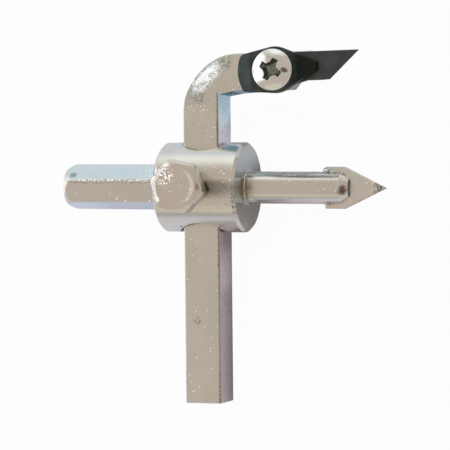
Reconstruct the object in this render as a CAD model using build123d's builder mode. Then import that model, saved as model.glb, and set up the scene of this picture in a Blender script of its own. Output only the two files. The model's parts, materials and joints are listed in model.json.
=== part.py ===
from build123d import *
import os
from math import asin, atan2, cos, degrees, hypot, radians, sin, sqrt, tan

# Adjustable circle cutter for tiles, driven by a drill. Sizes are millimetres.
# The tool axis is X: the origin is the centre of the drive shank's end face, and the pilot points
# along +X. The arm crosses the hub along Y, and its bent leg carries the blade beside the pilot.
# The clamp bolt and the blade face +Z. Angles are degrees.

# Hub: a turned barrel, cross-drilled for the arm
hub_diameter = 24.0
hub_length = 23.0
hub_rim_chamfer = 0.7

# Drive shank: hexagon bar with its corners turned down, and a round spigot pressed into the hub
shank_length = 28.5
shank_flats = 11.0
shank_corner_diameter = 12.4
shank_end_diameter = 10.4
shank_chamfer_length = 1.9
shank_turn = 13.5
spigot_diameter = 10.0

# Pilot: a round rod, coned at its end, with a spade point in a sawn slot
pilot_diameter = 8.5
pilot_length = 28.1
pilot_collar_length = 0.3
pilot_nose_length = 2.1
pilot_nose_depth = 1.45
slot_depth = 6.3
tip_width = 11.0
tip_thickness = 2.5
tip_straight_length = 4.8
tip_point_angle = 52.5
tip_corner_radius = 1.5

# Arm: square bar bent into an L, with its leg's end cut at a slant
arm_size = 10.0
arm_edge_radius = 0.3
arm_foot = 57.5
leg_height = 30.1
leg_reach = 23.56
leg_taper = 0.55
leg_end_angle = 50.0
bend_radius = 15.4
bend_inner_radius = 0.5
swell_height = 0.6
swell_length = 4.0
thinning_width = 5.0
thinning_depth = 0.9
thinning_radius = 110.0
arm_clearance = 0.25
arm_lean = 1.1

# Clamp bolt: hexagon head screw that presses its point on the arm
bolt_diameter = 8.0
bolt_offset = -2.6
bolt_head_flats = 13.0
bolt_head_height = 4.5
bolt_head_gap = 1.4
bolt_head_turn = -12.0
bolt_face_diameter = 11.4
bolt_face_angle = 30.0
bolt_dish_diameter = 9.6
bolt_dish_floor_diameter = 7.6
bolt_dish_depth = 0.25
bolt_point_chamfer = 1.2
thread_clearance = 0.05

# Blade: flat bar on the leg's face, slotted for its screw, with a slanted cutting edge
blade_thickness = 2.0
blade_tang_width = 9.2
blade_width = 7.4
blade_tang_length = 7.7
blade_neck_start = 1.3
blade_neck_slope = 14.0
blade_low_edge = 14.8
blade_edge_angle = 43.3
blade_bevel_length = 1.8
blade_bevel_depth = 1.5
blade_slot_back = 6.1
blade_slot_clearance = 0.3

# Blade clamp: bridge plate with its heel on the leg and its nose on the blade
clamp_disc_diameter = 12.1
clamp_disc_shift = 0.5
clamp_thickness = 2.0
clamp_lift = 0.3
clamp_heel_length = 9.8
clamp_heel_thickness = 1.1
clamp_heel_width = 9.6
clamp_heel_bulge = 1.3
clamp_heel_corner_radius = 1.8
clamp_heel_drop = 0.6
clamp_nose_length = 11.7
clamp_nose_width = 2.1
clamp_nose_thickness = 0.9
clamp_nose_seat = 2.2
clamp_turn = 3.9
clamp_edge_radius = 0.35

# Blade screw: domed head with a cross recess, through the clamp and the blade into the leg
screw_diameter = 5.0
screw_offset = 21.55
screw_head_diameter = 11.0
screw_head_height = 2.4
screw_dome_radius = 9.0
screw_head_edge_radius = 0.4
screw_end_gap = 0.3
screw_clearance = 0.1
cross_span = 5.8
cross_wing_width = 1.6
cross_core_diameter = 3.2
cross_depth = 2.0
cross_taper = 13.0
cross_turn = 62.0

# Places that follow from the sizes
hub_radius = hub_diameter / 2
hub_end = shank_length + hub_length
arm_x = shank_length + hub_length / 2
arm_face = arm_size / 2
bolt_x = arm_x + bolt_offset
bolt_seat = hub_radius + bolt_head_gap
screw_x = arm_x + screw_offset
blade_face = arm_face + blade_thickness
clamp_top = blade_face + clamp_lift + clamp_thickness
pilot_end = hub_end + pilot_length
clamp_height = clamp_top - arm_face

# The square arm slides in a round hole, so its rounded edges set the hole's size
arm_diagonal = (arm_size - 2 * arm_edge_radius) * sqrt(2) + 2 * arm_edge_radius
cross_hole_diameter = arm_diagonal + 2 * arm_clearance

# The tool lies on its back: the hub's barrel and the arm's foot touch the ground
foot_z = arm_face - arm_edge_radius
foot_y = (arm_foot - arm_edge_radius) * cos(radians(arm_lean)) + foot_z * sin(radians(arm_lean))
lie_angle = degrees(asin((hub_radius - arm_edge_radius) / hypot(foot_y, foot_z)) - atan2(foot_z, foot_y))

# Planes across the arm, at the bolt's seat and at the blade screw
arm_section = Plane(origin=(arm_x, 0, 0), x_dir=(1, 0, 0), z_dir=(0, 1, 0))
bolt_plane = Plane.XY.offset(bolt_seat).move(Location((bolt_x, 0, 0)))
screw_plane = Plane.XY.move(Location((screw_x, leg_height, 0)))
clamp_plane = Plane(origin=(screw_x, leg_height, arm_face), x_dir=Vector(1, 0, 0).rotate(Axis.Z, clamp_turn))


def drill_arm_hole():
    """Drills the arm's round cross hole through the piece that is being built."""
    with Locations(arm_section):
        Cylinder(cross_hole_diameter / 2, 2 * hub_diameter, mode=Mode.SUBTRACT)


with BuildPart() as hub:
    with BuildSketch(Plane.YZ.offset(shank_length)):
        Circle(hub_radius)
    extrude(amount=hub_length)
    chamfer(hub.faces().filter_by(Axis.X).edges(), hub_rim_chamfer)
    with BuildSketch(Plane.YZ.offset(shank_length)):
        Circle(spigot_diameter / 2)
    extrude(amount=hub_length, mode=Mode.SUBTRACT)
    drill_arm_hole()
    with BuildSketch(bolt_plane):
        Circle(bolt_diameter / 2 + thread_clearance)
    extrude(amount=-bolt_seat, mode=Mode.SUBTRACT)

with BuildPart() as drive_shank:
    with BuildSketch(Plane.YZ):
        RegularPolygon(shank_flats / 2, 6, major_radius=False, rotation=shank_turn)
    extrude(amount=shank_length)
    with BuildSketch(Plane.XZ):
        with BuildLine():
            Polyline(
                (0, 0),
                (0, shank_end_diameter / 2),
                (shank_chamfer_length, shank_corner_diameter / 2),
                (shank_length, shank_corner_diameter / 2),
                (shank_length, 0),
                close=True,
            )
        make_face()
    revolve(axis=Axis.X, mode=Mode.INTERSECT)
    with BuildSketch(Plane.YZ.offset(shank_length)):
        Circle(spigot_diameter / 2)
    extrude(amount=hub_length / 2)
    drill_arm_hole()

with BuildPart() as pilot_rod:
    with BuildSketch(Plane.XZ):
        with BuildLine():
            Polyline(
                (arm_x, 0),
                (arm_x, spigot_diameter / 2),
                (hub_end + pilot_collar_length, spigot_diameter / 2),
                (hub_end + pilot_collar_length, pilot_diameter / 2),
                (pilot_end - pilot_nose_length, pilot_diameter / 2),
                (pilot_end, pilot_diameter / 2 - pilot_nose_depth),
                (pilot_end, 0),
                close=True,
            )
        make_face()
    revolve(axis=Axis.X)
    with BuildSketch(Plane.XZ):
        with Locations((pilot_end, 0)):
            Rectangle(slot_depth, tip_thickness, align=(Align.MAX, Align.CENTER))
    extrude(amount=pilot_diameter, both=True, mode=Mode.SUBTRACT)
    drill_arm_hole()

with BuildPart() as pilot_tip:
    tip_start = pilot_end - slot_depth
    tip_shoulder = tip_start + tip_straight_length
    tip_point = tip_shoulder + tip_width / 2 / tan(radians(tip_point_angle / 2))
    with BuildSketch(Plane.XY.offset(-tip_thickness / 2)):
        with BuildLine():
            Polyline(
                (tip_start, -tip_width / 2),
                (tip_shoulder, -tip_width / 2),
                (tip_point, 0),
                (tip_shoulder, tip_width / 2),
                (tip_start, tip_width / 2),
                close=True,
            )
        make_face()
    extrude(amount=tip_thickness)
    fillet(pilot_tip.edges().filter_by(Axis.Z).group_by(Axis.X)[1], tip_corner_radius)

with BuildPart() as arm:
    leg_low = leg_height - arm_size / 2
    leg_high = leg_height + arm_size / 2
    leg_tip = leg_reach + (arm_size - leg_taper) / tan(radians(leg_end_angle))
    corner_y = leg_low - swell_height
    with BuildSketch(Plane.XY.offset(-arm_face)):
        with BuildLine():
            Polyline(
                (arm_x - arm_face, leg_high - bend_radius),
                (arm_x - arm_face, -arm_foot),
                (arm_x + arm_face, -arm_foot),
                (arm_x + arm_face, corner_y),
                (arm_x + arm_face + swell_length, leg_low),
                (arm_x + leg_reach, leg_low + leg_taper),
                (arm_x + leg_tip, leg_high),
                (arm_x - arm_face + bend_radius, leg_high),
            )
            RadiusArc(
                (arm_x - arm_face + bend_radius, leg_high),
                (arm_x - arm_face, leg_high - bend_radius),
                -bend_radius,
            )
        make_face()
    extrude(amount=arm_size)
    inner_corner = arm.edges().filter_by(Axis.Z).sort_by_distance((arm_x + arm_face, corner_y, 0))[0]
    fillet(inner_corner, bend_inner_radius)
    fillet(arm.edges(), arm_edge_radius)
    # Bending draws the bar thinner on the outside of the bend: a shallow hollow on its front and its back
    bend_outside = Vector(arm_x - arm_face, leg_high) + Vector(1, -1) * bend_radius * (1 - sqrt(0.5))
    inwards = Vector(1, -1) * thinning_width * sqrt(0.5)
    for side in (1, -1):
        hollow_start = bend_outside + Vector(0, 0, side * (arm_face - thinning_depth))
        hollow_slope = inwards + Vector(0, 0, side * thinning_depth)
        with Locations(Plane(origin=hollow_start, x_dir=(1, 1, 0), z_dir=hollow_slope)):
            with Locations((0, side * thinning_radius, 0)):
                Cylinder(thinning_radius, 4 * bend_radius, mode=Mode.SUBTRACT)
    with BuildSketch(screw_plane):
        Circle(screw_diameter / 2 + thread_clearance)
    extrude(amount=arm_size, both=True, mode=Mode.SUBTRACT)

with BuildPart() as clamp_bolt:
    with BuildSketch(bolt_plane):
        RegularPolygon(bolt_head_flats / 2, 6, major_radius=False, rotation=bolt_head_turn)
    extrude(amount=bolt_head_height)
    # The head's corners are turned to a cone, and its face has a shallow dish with a sloping rim
    bolt_profile = Plane(origin=(bolt_x, 0, bolt_seat), x_dir=(1, 0, 0), z_dir=(0, -1, 0))
    with BuildSketch(bolt_profile):
        with BuildLine():
            Polyline(
                (bolt_dish_diameter / 2, bolt_head_height),
                (bolt_face_diameter / 2, bolt_head_height),
                (bolt_head_flats, bolt_head_height
                 - (bolt_head_flats - bolt_face_diameter / 2) * tan(radians(bolt_face_angle))),
                (bolt_head_flats, 0),
                (0, 0),
                (0, bolt_head_height - bolt_dish_depth),
                (bolt_dish_floor_diameter / 2, bolt_head_height - bolt_dish_depth),
                close=True,
            )
        make_face()
    revolve(axis=Axis((bolt_x, 0, 0), (0, 0, 1)), mode=Mode.INTERSECT)
    with BuildSketch(bolt_plane):
        Circle(bolt_diameter / 2)
    extrude(amount=arm_face - bolt_seat)
    chamfer(clamp_bolt.edges().sort_by(Axis.Z)[0], bolt_point_chamfer)

with BuildPart() as blade:
    blade_back = screw_x - blade_tang_length
    blade_high = leg_height + blade_tang_width / 2
    blade_low = blade_high - blade_width
    tang_low = leg_height - blade_tang_width / 2
    neck_run = (blade_low - tang_low) / tan(radians(blade_neck_slope))
    edge_run = blade_width / tan(radians(blade_edge_angle))
    with BuildSketch(Plane.XY.offset(arm_face)):
        with BuildLine():
            Polyline(
                (blade_back, tang_low),
                (screw_x + blade_neck_start, tang_low),
                (screw_x + blade_neck_start + neck_run, blade_low),
                (screw_x + blade_low_edge, blade_low),
                (screw_x + blade_low_edge + edge_run, blade_high),
                (blade_back, blade_high),
                close=True,
            )
        make_face()
        slot_radius = screw_diameter / 2 + blade_slot_clearance
        with Locations((screw_x + slot_radius, leg_height)):
            SlotOverall(
                blade_slot_back + slot_radius, 2 * slot_radius, align=(Align.MAX, Align.CENTER), mode=Mode.SUBTRACT
            )
    extrude(amount=blade_thickness)
    # Relief ground on the back of the cutting edge
    back_face = blade.faces().sort_by(Axis.Z)[0]
    cutting_edge = back_face.edges().sort_by(Axis.X)[-1]
    chamfer(cutting_edge, blade_bevel_length, blade_bevel_depth, reference=back_face)

with BuildPart() as blade_clamp:
    heel_end = clamp_heel_length - clamp_heel_bulge
    with BuildSketch(clamp_plane) as clamp_outline:
        with BuildLine():
            CenterArc((clamp_disc_shift, 0), clamp_disc_diameter / 2, 0, 360)
            ThreePointArc(
                (-heel_end, clamp_heel_width / 2), (-clamp_heel_length, 0), (-heel_end, -clamp_heel_width / 2)
            )
            Line((clamp_nose_length, -clamp_nose_width / 2), (clamp_nose_length, clamp_nose_width / 2))
        make_hull()
        heel_corner = clamp_outline.vertices().sort_by_distance((-heel_end, clamp_heel_width / 2))[0]
        fillet(heel_corner, clamp_heel_corner_radius)
    extrude(amount=clamp_height)
    # Seen from its side the plate bridges from the heel to the nose, and both ends slope down
    with BuildSketch(Plane(clamp_plane.origin, clamp_plane.x_dir, -clamp_plane.y_dir)):
        with BuildLine():
            Polyline(
                (-clamp_heel_length, clamp_height - clamp_heel_drop),
                (-clamp_disc_diameter / 2, clamp_height),
                (clamp_disc_shift + clamp_disc_diameter / 2, clamp_height),
                (clamp_nose_length, blade_thickness + clamp_nose_thickness),
                (clamp_nose_length, blade_thickness),
                (clamp_nose_length - clamp_nose_seat, blade_thickness),
                (clamp_nose_length - clamp_nose_seat - clamp_lift, blade_thickness + clamp_lift),
                (-clamp_heel_length + clamp_heel_thickness, blade_thickness + clamp_lift),
                (-clamp_heel_length + clamp_heel_thickness, 0),
                (-clamp_heel_length, 0),
                close=True,
            )
        make_face()
    extrude(amount=clamp_disc_diameter, both=True, mode=Mode.INTERSECT)
    top_faces = blade_clamp.faces().filter_by(lambda face: face.normal_at().Z > 0.5)
    top_edges = ShapeList(edge for face in top_faces for edge in face.edges())
    fillet([edge for edge in top_edges if top_edges.count(edge) == 1], clamp_edge_radius)
    with BuildSketch(clamp_plane):
        Circle(screw_diameter / 2 + screw_clearance)
    extrude(amount=clamp_height, mode=Mode.SUBTRACT)

with BuildPart() as blade_screw:
    head_side = screw_head_height - screw_dome_radius + sqrt(screw_dome_radius**2 - (screw_head_diameter / 2) ** 2)
    with BuildSketch(Plane((screw_x, leg_height, clamp_top), x_dir=(1, 0, 0), z_dir=(0, -1, 0))) as head_profile:
        with BuildLine():
            Polyline(
                (0, screw_head_height), (0, 0), (screw_head_diameter / 2, 0), (screw_head_diameter / 2, head_side)
            )
            RadiusArc((screw_head_diameter / 2, head_side), (0, screw_head_height), -screw_dome_radius)
        make_face()
        fillet(head_profile.vertices().sort_by_distance((screw_head_diameter, head_side))[0], screw_head_edge_radius)
    revolve(axis=Axis((screw_x, leg_height, 0), (0, 0, 1)))
    # Cross recess, tapering to its floor
    with BuildSketch(screw_plane.offset(clamp_top + screw_head_height)):
        with Locations(Rotation(0, 0, cross_turn)):
            Rectangle(cross_span, cross_wing_width)
            Rectangle(cross_wing_width, cross_span)
            Circle(cross_core_diameter / 2)
    extrude(amount=-cross_depth, taper=cross_taper, mode=Mode.SUBTRACT)
    with BuildSketch(screw_plane.offset(clamp_top)):
        Circle(screw_diameter / 2)
    extrude(amount=-(clamp_top + arm_face - screw_end_gap))

# What the arm carries leans with it in its loose hole, and the whole tool is laid down about its axis
arm_centre = Axis((arm_x, 0, 0), (0, 0, 1))
holder_pieces = {
    "hub": hub,
    "drive_shank": drive_shank,
    "pilot_rod": pilot_rod,
    "pilot_tip": pilot_tip,
    "clamp_bolt": clamp_bolt,
}
arm_pieces = {
    "arm": arm,
    "blade": blade,
    "blade_clamp": blade_clamp,
    "blade_screw": blade_screw,
}
finished = {name: piece.part for name, piece in holder_pieces.items()}
finished.update({name: piece.part.rotate(arm_centre, arm_lean) for name, piece in arm_pieces.items()})
os.makedirs("parts", exist_ok=True)
for name, part in finished.items():
    part = part.rotate(Axis.X, lie_angle)
    part.label = name
    export_step(part, f"parts/{name}.step")
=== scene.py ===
import json
from math import atan2, cos, exp, log, pi, radians, sin, sqrt, tan

import bmesh
import bpy
from mathutils import Matrix, Vector, noise


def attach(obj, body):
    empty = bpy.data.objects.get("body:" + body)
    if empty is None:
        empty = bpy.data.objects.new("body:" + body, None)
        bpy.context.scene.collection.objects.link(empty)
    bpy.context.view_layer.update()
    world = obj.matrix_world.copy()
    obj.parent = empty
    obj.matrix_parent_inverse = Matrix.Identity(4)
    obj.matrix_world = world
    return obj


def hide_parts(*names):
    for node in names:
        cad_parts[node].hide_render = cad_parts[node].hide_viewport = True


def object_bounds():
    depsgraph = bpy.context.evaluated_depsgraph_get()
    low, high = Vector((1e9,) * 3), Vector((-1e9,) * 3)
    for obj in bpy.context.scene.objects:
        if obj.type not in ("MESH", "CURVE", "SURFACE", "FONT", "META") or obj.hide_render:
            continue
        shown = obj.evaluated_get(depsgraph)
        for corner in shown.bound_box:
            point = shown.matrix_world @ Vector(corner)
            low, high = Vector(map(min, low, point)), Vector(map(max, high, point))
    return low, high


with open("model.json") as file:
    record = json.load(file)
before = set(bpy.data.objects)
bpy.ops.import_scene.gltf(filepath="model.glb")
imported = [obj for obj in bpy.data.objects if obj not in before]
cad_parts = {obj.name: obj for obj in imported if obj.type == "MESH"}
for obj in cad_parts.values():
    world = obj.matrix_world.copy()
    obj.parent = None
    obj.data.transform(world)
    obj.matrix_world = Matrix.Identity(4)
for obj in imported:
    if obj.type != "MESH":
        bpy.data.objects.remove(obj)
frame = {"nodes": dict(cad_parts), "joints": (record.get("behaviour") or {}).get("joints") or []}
cad_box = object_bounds()

# Sizes are millimetres in the square tool frame: X along the tool axis from the shank's end face,
# Y towards the bent leg, Z towards the clamp bolt. MM turns them into Blender's metres.
MM = 0.001

joints = {joint["name"]: joint for joint in frame["joints"]}
bolt_axis = Vector(joints["clamp_bolt_turn"]["axis"])
lie_angle = atan2(-bolt_axis.y, bolt_axis.z)
LAID_DOWN = Matrix.Rotation(lie_angle, 3, "X")
slide_axis = LAID_DOWN.inverted() @ Vector(joints["arm_slide"]["axis"])
arm_lean = atan2(-slide_axis.x, slide_axis.y)


def row_point(x, y, z):
    """A point of the square tool frame, in the row frame, in metres."""
    return LAID_DOWN @ Vector((x, y, z)) * MM


def row_direction(x, y, z):
    """A direction of the square tool frame, in the row frame."""
    return tuple(LAID_DOWN @ Vector((x, y, z)))


def tool_box(node):
    """Lowest and highest corner of a CAD node in the square tool frame, in millimetres."""
    corners = [LAID_DOWN.inverted() @ vertex.co / MM for vertex in frame["nodes"][node].data.vertices]
    low = Vector([min(c[i] for c in corners) for i in range(3)])
    high = Vector([max(c[i] for c in corners) for i in range(3)])
    return low, high


hub_low, hub_high = tool_box("hub")
bolt_low, bolt_high = tool_box("clamp_bolt")
tip_low, tip_high = tool_box("pilot_tip")
screw_low, screw_high = tool_box("blade_screw")
HUB_START, HUB_END = hub_low.x, hub_high.x
HUB_RADIUS = hub_high.z
ARM_X = (hub_low.x + hub_high.x) / 2
BOLT_X = (bolt_low.x + bolt_high.x) / 2
BOLT_END, HEAD_TOP = bolt_low.z, bolt_high.z
TIP_START, TIP_POINT = tip_low.x, tip_high.x
TIP_FACE = tip_high.z
ROD_RADIUS = 4.25
ROD_END = tool_box("pilot_rod")[1].x
SHANK_HALF = 5.5
SHANK_TURN = 13.5  # degrees from Y to the nearest corner of the hexagon
FLOOR = cad_box[0][2]
# In the arm's own frame: half the bar, the leg, the middle of the bend's outside, and the blade's screw
BAR_HALF = 5.0
LEG_TOP = 35.1
LEG_LOW = LEG_TOP - 2 * BAR_HALF
BEND_RADIUS = 15.4
BEND_X = -BAR_HALF + BEND_RADIUS * (1 - sqrt(0.5))
BEND_Y = LEG_TOP - BEND_RADIUS * (1 - sqrt(0.5))
SCREW_X, SCREW_Y = 21.55, 30.1
SCREW_HEAD_RADIUS, SCREW_HEAD_HEIGHT = 5.5, 2.4
SCREW_END, SCREW_SEAT = screw_low.z, screw_high.z - SCREW_HEAD_HEIGHT
DOME_RADIUS = 9.0
DOME_Z = screw_high.z - DOME_RADIUS

# Camera: the photograph's view, fitted to the edges of the tool
VIEW_YAW = radians(19.66)
VIEW_PITCH = radians(0.5)
VIEW_ROLL = radians(-0.49)
VIEW_TARGET = (44.99, -10.07, 0.0)
VIEW_DISTANCE = 518.0
VIEW_SCALE = 3.742
IMAGE_PIXELS = 450
SENSOR = 36.0


def add_camera():
    """The photograph's camera: square, long and level, with VIEW_SCALE pixels to a millimetre at the tool."""
    towards = Vector((sin(VIEW_YAW) * cos(VIEW_PITCH), sin(VIEW_PITCH), cos(VIEW_YAW) * cos(VIEW_PITCH)))
    level_right = Vector((cos(VIEW_YAW), 0, -sin(VIEW_YAW)))
    level_up = towards.cross(level_right)
    right = level_right * cos(VIEW_ROLL) - level_up * sin(VIEW_ROLL)
    up = level_right * sin(VIEW_ROLL) + level_up * cos(VIEW_ROLL)
    turn = Matrix((right, up, towards)).transposed()
    place = Vector(VIEW_TARGET) + towards * VIEW_DISTANCE
    data = bpy.data.cameras.new("camera")
    data.sensor_width = SENSOR
    data.lens = VIEW_SCALE * VIEW_DISTANCE / IMAGE_PIXELS * SENSOR
    data.clip_end = 10
    camera = bpy.data.objects.new("camera", data)
    camera.matrix_world = Matrix.Translation(row_point(*place)) @ (LAID_DOWN @ turn).to_4x4()
    bpy.context.scene.collection.objects.link(camera)
    bpy.context.scene.camera = camera


class Nodes:
    """A node tree, built one named step at a time."""

    def __init__(self, tree):
        self.tree = tree

    def plug(self, socket, value):
        """Links a socket, or sets a plain value."""
        if isinstance(value, bpy.types.NodeSocket):
            self.tree.links.new(value, socket)
        else:
            socket.default_value = value

    def add(self, kind, **inputs):
        """A new node with the named inputs filled."""
        node = self.tree.nodes.new(kind)
        for name, value in inputs.items():
            self.plug(node.inputs[name], value)
        return node

    def math(self, operation, a, b=0.0):
        """The result of a Math node."""
        node = self.add("ShaderNodeMath")
        node.operation = operation
        self.plug(node.inputs[0], a)
        self.plug(node.inputs[1], b)
        return node.outputs[0]

    def vector(self, operation, a, b):
        """The result of a Vector Math node: a vector, or a value for a distance or a dot product."""
        node = self.add("ShaderNodeVectorMath")
        node.operation = operation
        self.plug(node.inputs[0], a)
        self.plug(node.inputs["Scale" if operation == "SCALE" else 1], b)
        return node.outputs["Value" if operation in ("DISTANCE", "DOT_PRODUCT") else 0]

    def mix(self, share, a, b):
        """Colour a, and as much of colour b over it as share says."""
        node = self.add("ShaderNodeMix")
        node.data_type = "RGBA"
        self.plug(node.inputs[0], share)
        for socket, colour in ((node.inputs[6], a), (node.inputs[7], b)):
            self.plug(socket, colour if isinstance(colour, bpy.types.NodeSocket) else (*colour, 1))
        return node.outputs[2]

    def times(self, *values):
        """The product of all the values."""
        result = values[0]
        for value in values[1:]:
            result = self.math("MULTIPLY", result, value)
        return result

    def plus(self, *values):
        """The sum of all the values."""
        result = values[0]
        for value in values[1:]:
            result = self.math("ADD", result, value)
        return result

    def size(self, value):
        """The value without its sign."""
        return self.math("ABSOLUTE", value)

    def most(self, a, b):
        """The greater of two values."""
        return self.math("MAXIMUM", a, b)

    def hypot(self, a, b):
        """The length of the diagonal over a and b."""
        return self.math("SQRT", self.plus(self.times(a, a), self.times(b, b)))

    def step(self, value, low, high):
        """0 below low, 1 above high, smooth between; low over high turns it round."""
        node = self.add("ShaderNodeMapRange", Value=value)
        node.interpolation_type = "SMOOTHSTEP"
        turned = low > high
        node.inputs["From Min"].default_value = high if turned else low
        node.inputs["From Max"].default_value = low if turned else high
        node.inputs["To Min"].default_value = 1.0 if turned else 0.0
        node.inputs["To Max"].default_value = 0.0 if turned else 1.0
        return node.outputs["Result"]

    def between(self, value, low, high, soft):
        """1 from low to high, falling to 0 over soft outside them."""
        return self.times(self.step(value, low - soft, low), self.step(value, high + soft, high))


class Shader(Nodes):
    """A material in the square tool frame's millimetres, painted layer over layer.

    A material function sets colour, rough and height, adds layers with paint, roughen, lift, lean and
    sparkle, and finish puts them together. soft is the radius to which edges are rounded.
    """

    def __init__(self, name, leaning=False):
        self.material = bpy.data.materials.new(name)
        self.material.use_nodes = True
        super().__init__(self.material.node_tree)
        self.surface = self.tree.nodes["Principled BSDF"]
        # Texture space: the square tool frame in millimetres
        place = self.add("ShaderNodeTexCoord").outputs["Object"]
        square = self.add("ShaderNodeMapping", Vector=place)
        square.inputs["Rotation"].default_value = (-lie_angle, 0, 0)
        square.inputs["Scale"].default_value = (1 / MM, 1 / MM, 1 / MM)
        self.space = square.outputs[0]
        if leaning:
            # The arm's own frame: X from the arm's centreline, Y along the arm
            centred = self.add("ShaderNodeMapping", Vector=self.space)
            centred.inputs["Rotation"].default_value = (0, 0, -arm_lean)
            centred.inputs["Location"].default_value = (-ARM_X * cos(arm_lean), ARM_X * sin(arm_lean), 0)
            self.space = centred.outputs[0]
        self.axes = self.add("ShaderNodeSeparateXYZ", Vector=self.space).outputs
        self.tilts = []
        self.soft = 0.0

    def stretched(self, x, y, z):
        """The texture space, scaled along its axes."""
        node = self.add("ShaderNodeMapping", Vector=self.space)
        node.inputs["Scale"].default_value = (x, y, z)
        return node.outputs[0]

    def noise(self, size, detail=3.0, rough=0.55, stretch=(1, 1, 1), shift=0.0):
        """Noise whose features are about size millimetres, in 0..1."""
        place = self.stretched(*stretch)
        if shift:
            place = self.vector("ADD", place, (shift, shift, shift))
        node = self.add("ShaderNodeTexNoise", Vector=place, Scale=1 / size, Detail=detail, Roughness=rough)
        return node.outputs[0]

    def patches(self, size, low, high, **kind):
        """Patches of noise of a kind: 0 where it is below low, 1 where it is above high."""
        return self.step(self.noise(size, **kind), low, high)

    def ragged(self, value, amount, size, **kind):
        """The value, shifted up and down by noise of that amount."""
        return self.plus(value, self.times(self.plus(self.noise(size, **kind), -0.5), amount))

    def cells(self, size, shift=0.0):
        """Distance to the nearest of scattered points about size millimetres apart."""
        place = self.vector("ADD", self.space, (shift, shift, shift))
        return self.add("ShaderNodeTexVoronoi", Vector=place, Scale=1 / size).outputs["Distance"]

    def near(self, point, radius, ragged=0.0, size=1.0):
        """1 close to a point, falling to 0 at radius millimetres, with a ragged rim."""
        distance = self.vector("DISTANCE", self.space, point)
        if ragged:
            distance = self.ragged(distance, ragged, size)
        return self.step(distance, radius, radius * 0.35)

    def edge(self, radius):
        """1 along edges and corners that a radius of that many millimetres would round, 0 on faces."""
        bevel = self.add("ShaderNodeBevel", Radius=radius * MM).outputs[0]
        face = self.add("ShaderNodeNewGeometry").outputs["Normal"]
        return self.step(self.vector("DOT_PRODUCT", bevel, face), 0.995, 0.86)

    def paint(self, share, colour):
        """Lays a colour over what is there, as far as share says."""
        self.colour = self.mix(share, self.colour, colour)

    def roughen(self, amount):
        """Makes the surface less polished."""
        self.rough = self.plus(self.rough, amount)

    def lift(self, amount):
        """Raises the surface, in the steps that finish gives a depth."""
        self.height = self.plus(self.height, amount)

    def lean(self, share, x, y, z):
        """Tilts the surface towards a direction of the tool frame, by the given share."""
        self.tilts.append(self.vector("SCALE", row_direction(x, y, z), share))

    def glint(self, share):
        """A painted highlight: near-white metal, tilted so that it shows the window."""
        self.paint(share, HIGHLIGHT_WHITE)
        self.lean(share, *TO_WINDOW)

    def sparkle(self, share, size, strength, shift=0.0):
        """Turns small grains of the surface each its own way."""
        place = self.vector("ADD", self.space, (shift, shift, shift))
        node = self.add("ShaderNodeTexNoise", Vector=place, Scale=1 / size, Detail=2.0)
        spread = self.vector("SUBTRACT", node.outputs["Color"], (0.5, 0.5, 0.5))
        self.tilts.append(self.vector("SCALE", spread, self.times(share, strength)))

    def finish(self, depth, metallic=1.0):
        """Puts the layers together, with bumps of depth millimetres at height 1."""
        bump = self.add("ShaderNodeBump", Height=self.height, Distance=depth * MM)
        if self.soft:
            socket = isinstance(self.soft, bpy.types.NodeSocket)
            radius = self.times(self.soft, MM) if socket else self.soft * MM
            self.plug(bump.inputs["Normal"], self.add("ShaderNodeBevel", Radius=radius).outputs[0])
        normal = bump.outputs[0]
        for tilt in self.tilts:
            normal = self.vector("ADD", normal, tilt)
        if self.tilts:
            normal = self.vector("NORMALIZE", normal, (0, 0, 0))
        self.plug(self.surface.inputs["Normal"], normal)
        self.plug(self.surface.inputs["Base Color"], self.colour)
        self.plug(self.surface.inputs["Roughness"], self.rough)
        self.surface.inputs["Metallic"].default_value = metallic
        return self.material


# Colours of the plating, its tints and its stains, and the white of its painted highlights
ZINC = (0.80, 0.775, 0.735)
ZINC_DULL = (0.70, 0.67, 0.63)
ZINC_BLUE = (0.68, 0.76, 0.82)
ZINC_STRAW = (0.84, 0.73, 0.60)
STAIN = (0.10, 0.13, 0.13)
BURNT = (0.09, 0.085, 0.06)
GOLD = (0.50, 0.33, 0.12)
# Painted highlight: near-white metal, laid where an edge, grain or speck should shine
HIGHLIGHT_WHITE = (0.98, 0.97, 0.95)
# The tilt of a grain that shows the window to the photograph's camera
TO_WINDOW = (-0.40, 0.08, 0.0)


def zinc(name, lines, body_rough, marks=None, leaning=False, tint=0.25, soft=0.12):
    """Bright zinc plating over steel: fine lines of the given stretch, grain, stains and tints, with painted
    highlights on its edges and specks.
    """
    s = Shader(name, leaning)
    s.soft = soft
    cloud = s.noise(9.0)
    fine_lines = s.noise(0.22, 4.0, 0.7, lines)
    grain = s.noise(0.35, 3.0, 0.6)
    speck = s.times(s.step(s.cells(1.3), 0.115, 0.08), s.patches(5.0, 0.43, 0.50, detail=2.0, shift=7.0))
    dark = s.times(s.step(s.cells(2.1, 31.0), 0.10, 0.06), s.patches(4.3, 0.52, 0.60, detail=2.0, shift=19.0))
    s.colour = s.mix(s.times(s.step(cloud, 0.40, 0.70), 0.45), ZINC, ZINC_DULL)
    s.paint(s.times(s.patches(12.0, 0.50, 0.70, detail=2.0, shift=53.0), tint), ZINC_BLUE)
    s.paint(s.times(s.patches(8.0, 0.55, 0.72, detail=2.0, shift=71.0), tint), ZINC_STRAW)
    s.paint(s.times(s.step(fine_lines, 0.45, 0.75), 0.15), ZINC_DULL)
    s.paint(s.times(dark, 0.85), STAIN)
    # Painted highlight along the edges
    s.paint(s.times(s.edge(0.4), 0.6), HIGHLIGHT_WHITE)
    # Painted highlights on the specks
    s.glint(speck)
    s.rough = s.plus(body_rough, s.times(s.step(grain, 0.3, 0.8), 0.06), s.times(s.step(cloud, 0.4, 0.8), 0.05))
    s.height = s.plus(s.times(grain, 0.025), s.times(fine_lines, 0.06), s.times(dark, -1.5))
    if marks:
        marks(s)
    return s.finish(0.012)


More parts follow.
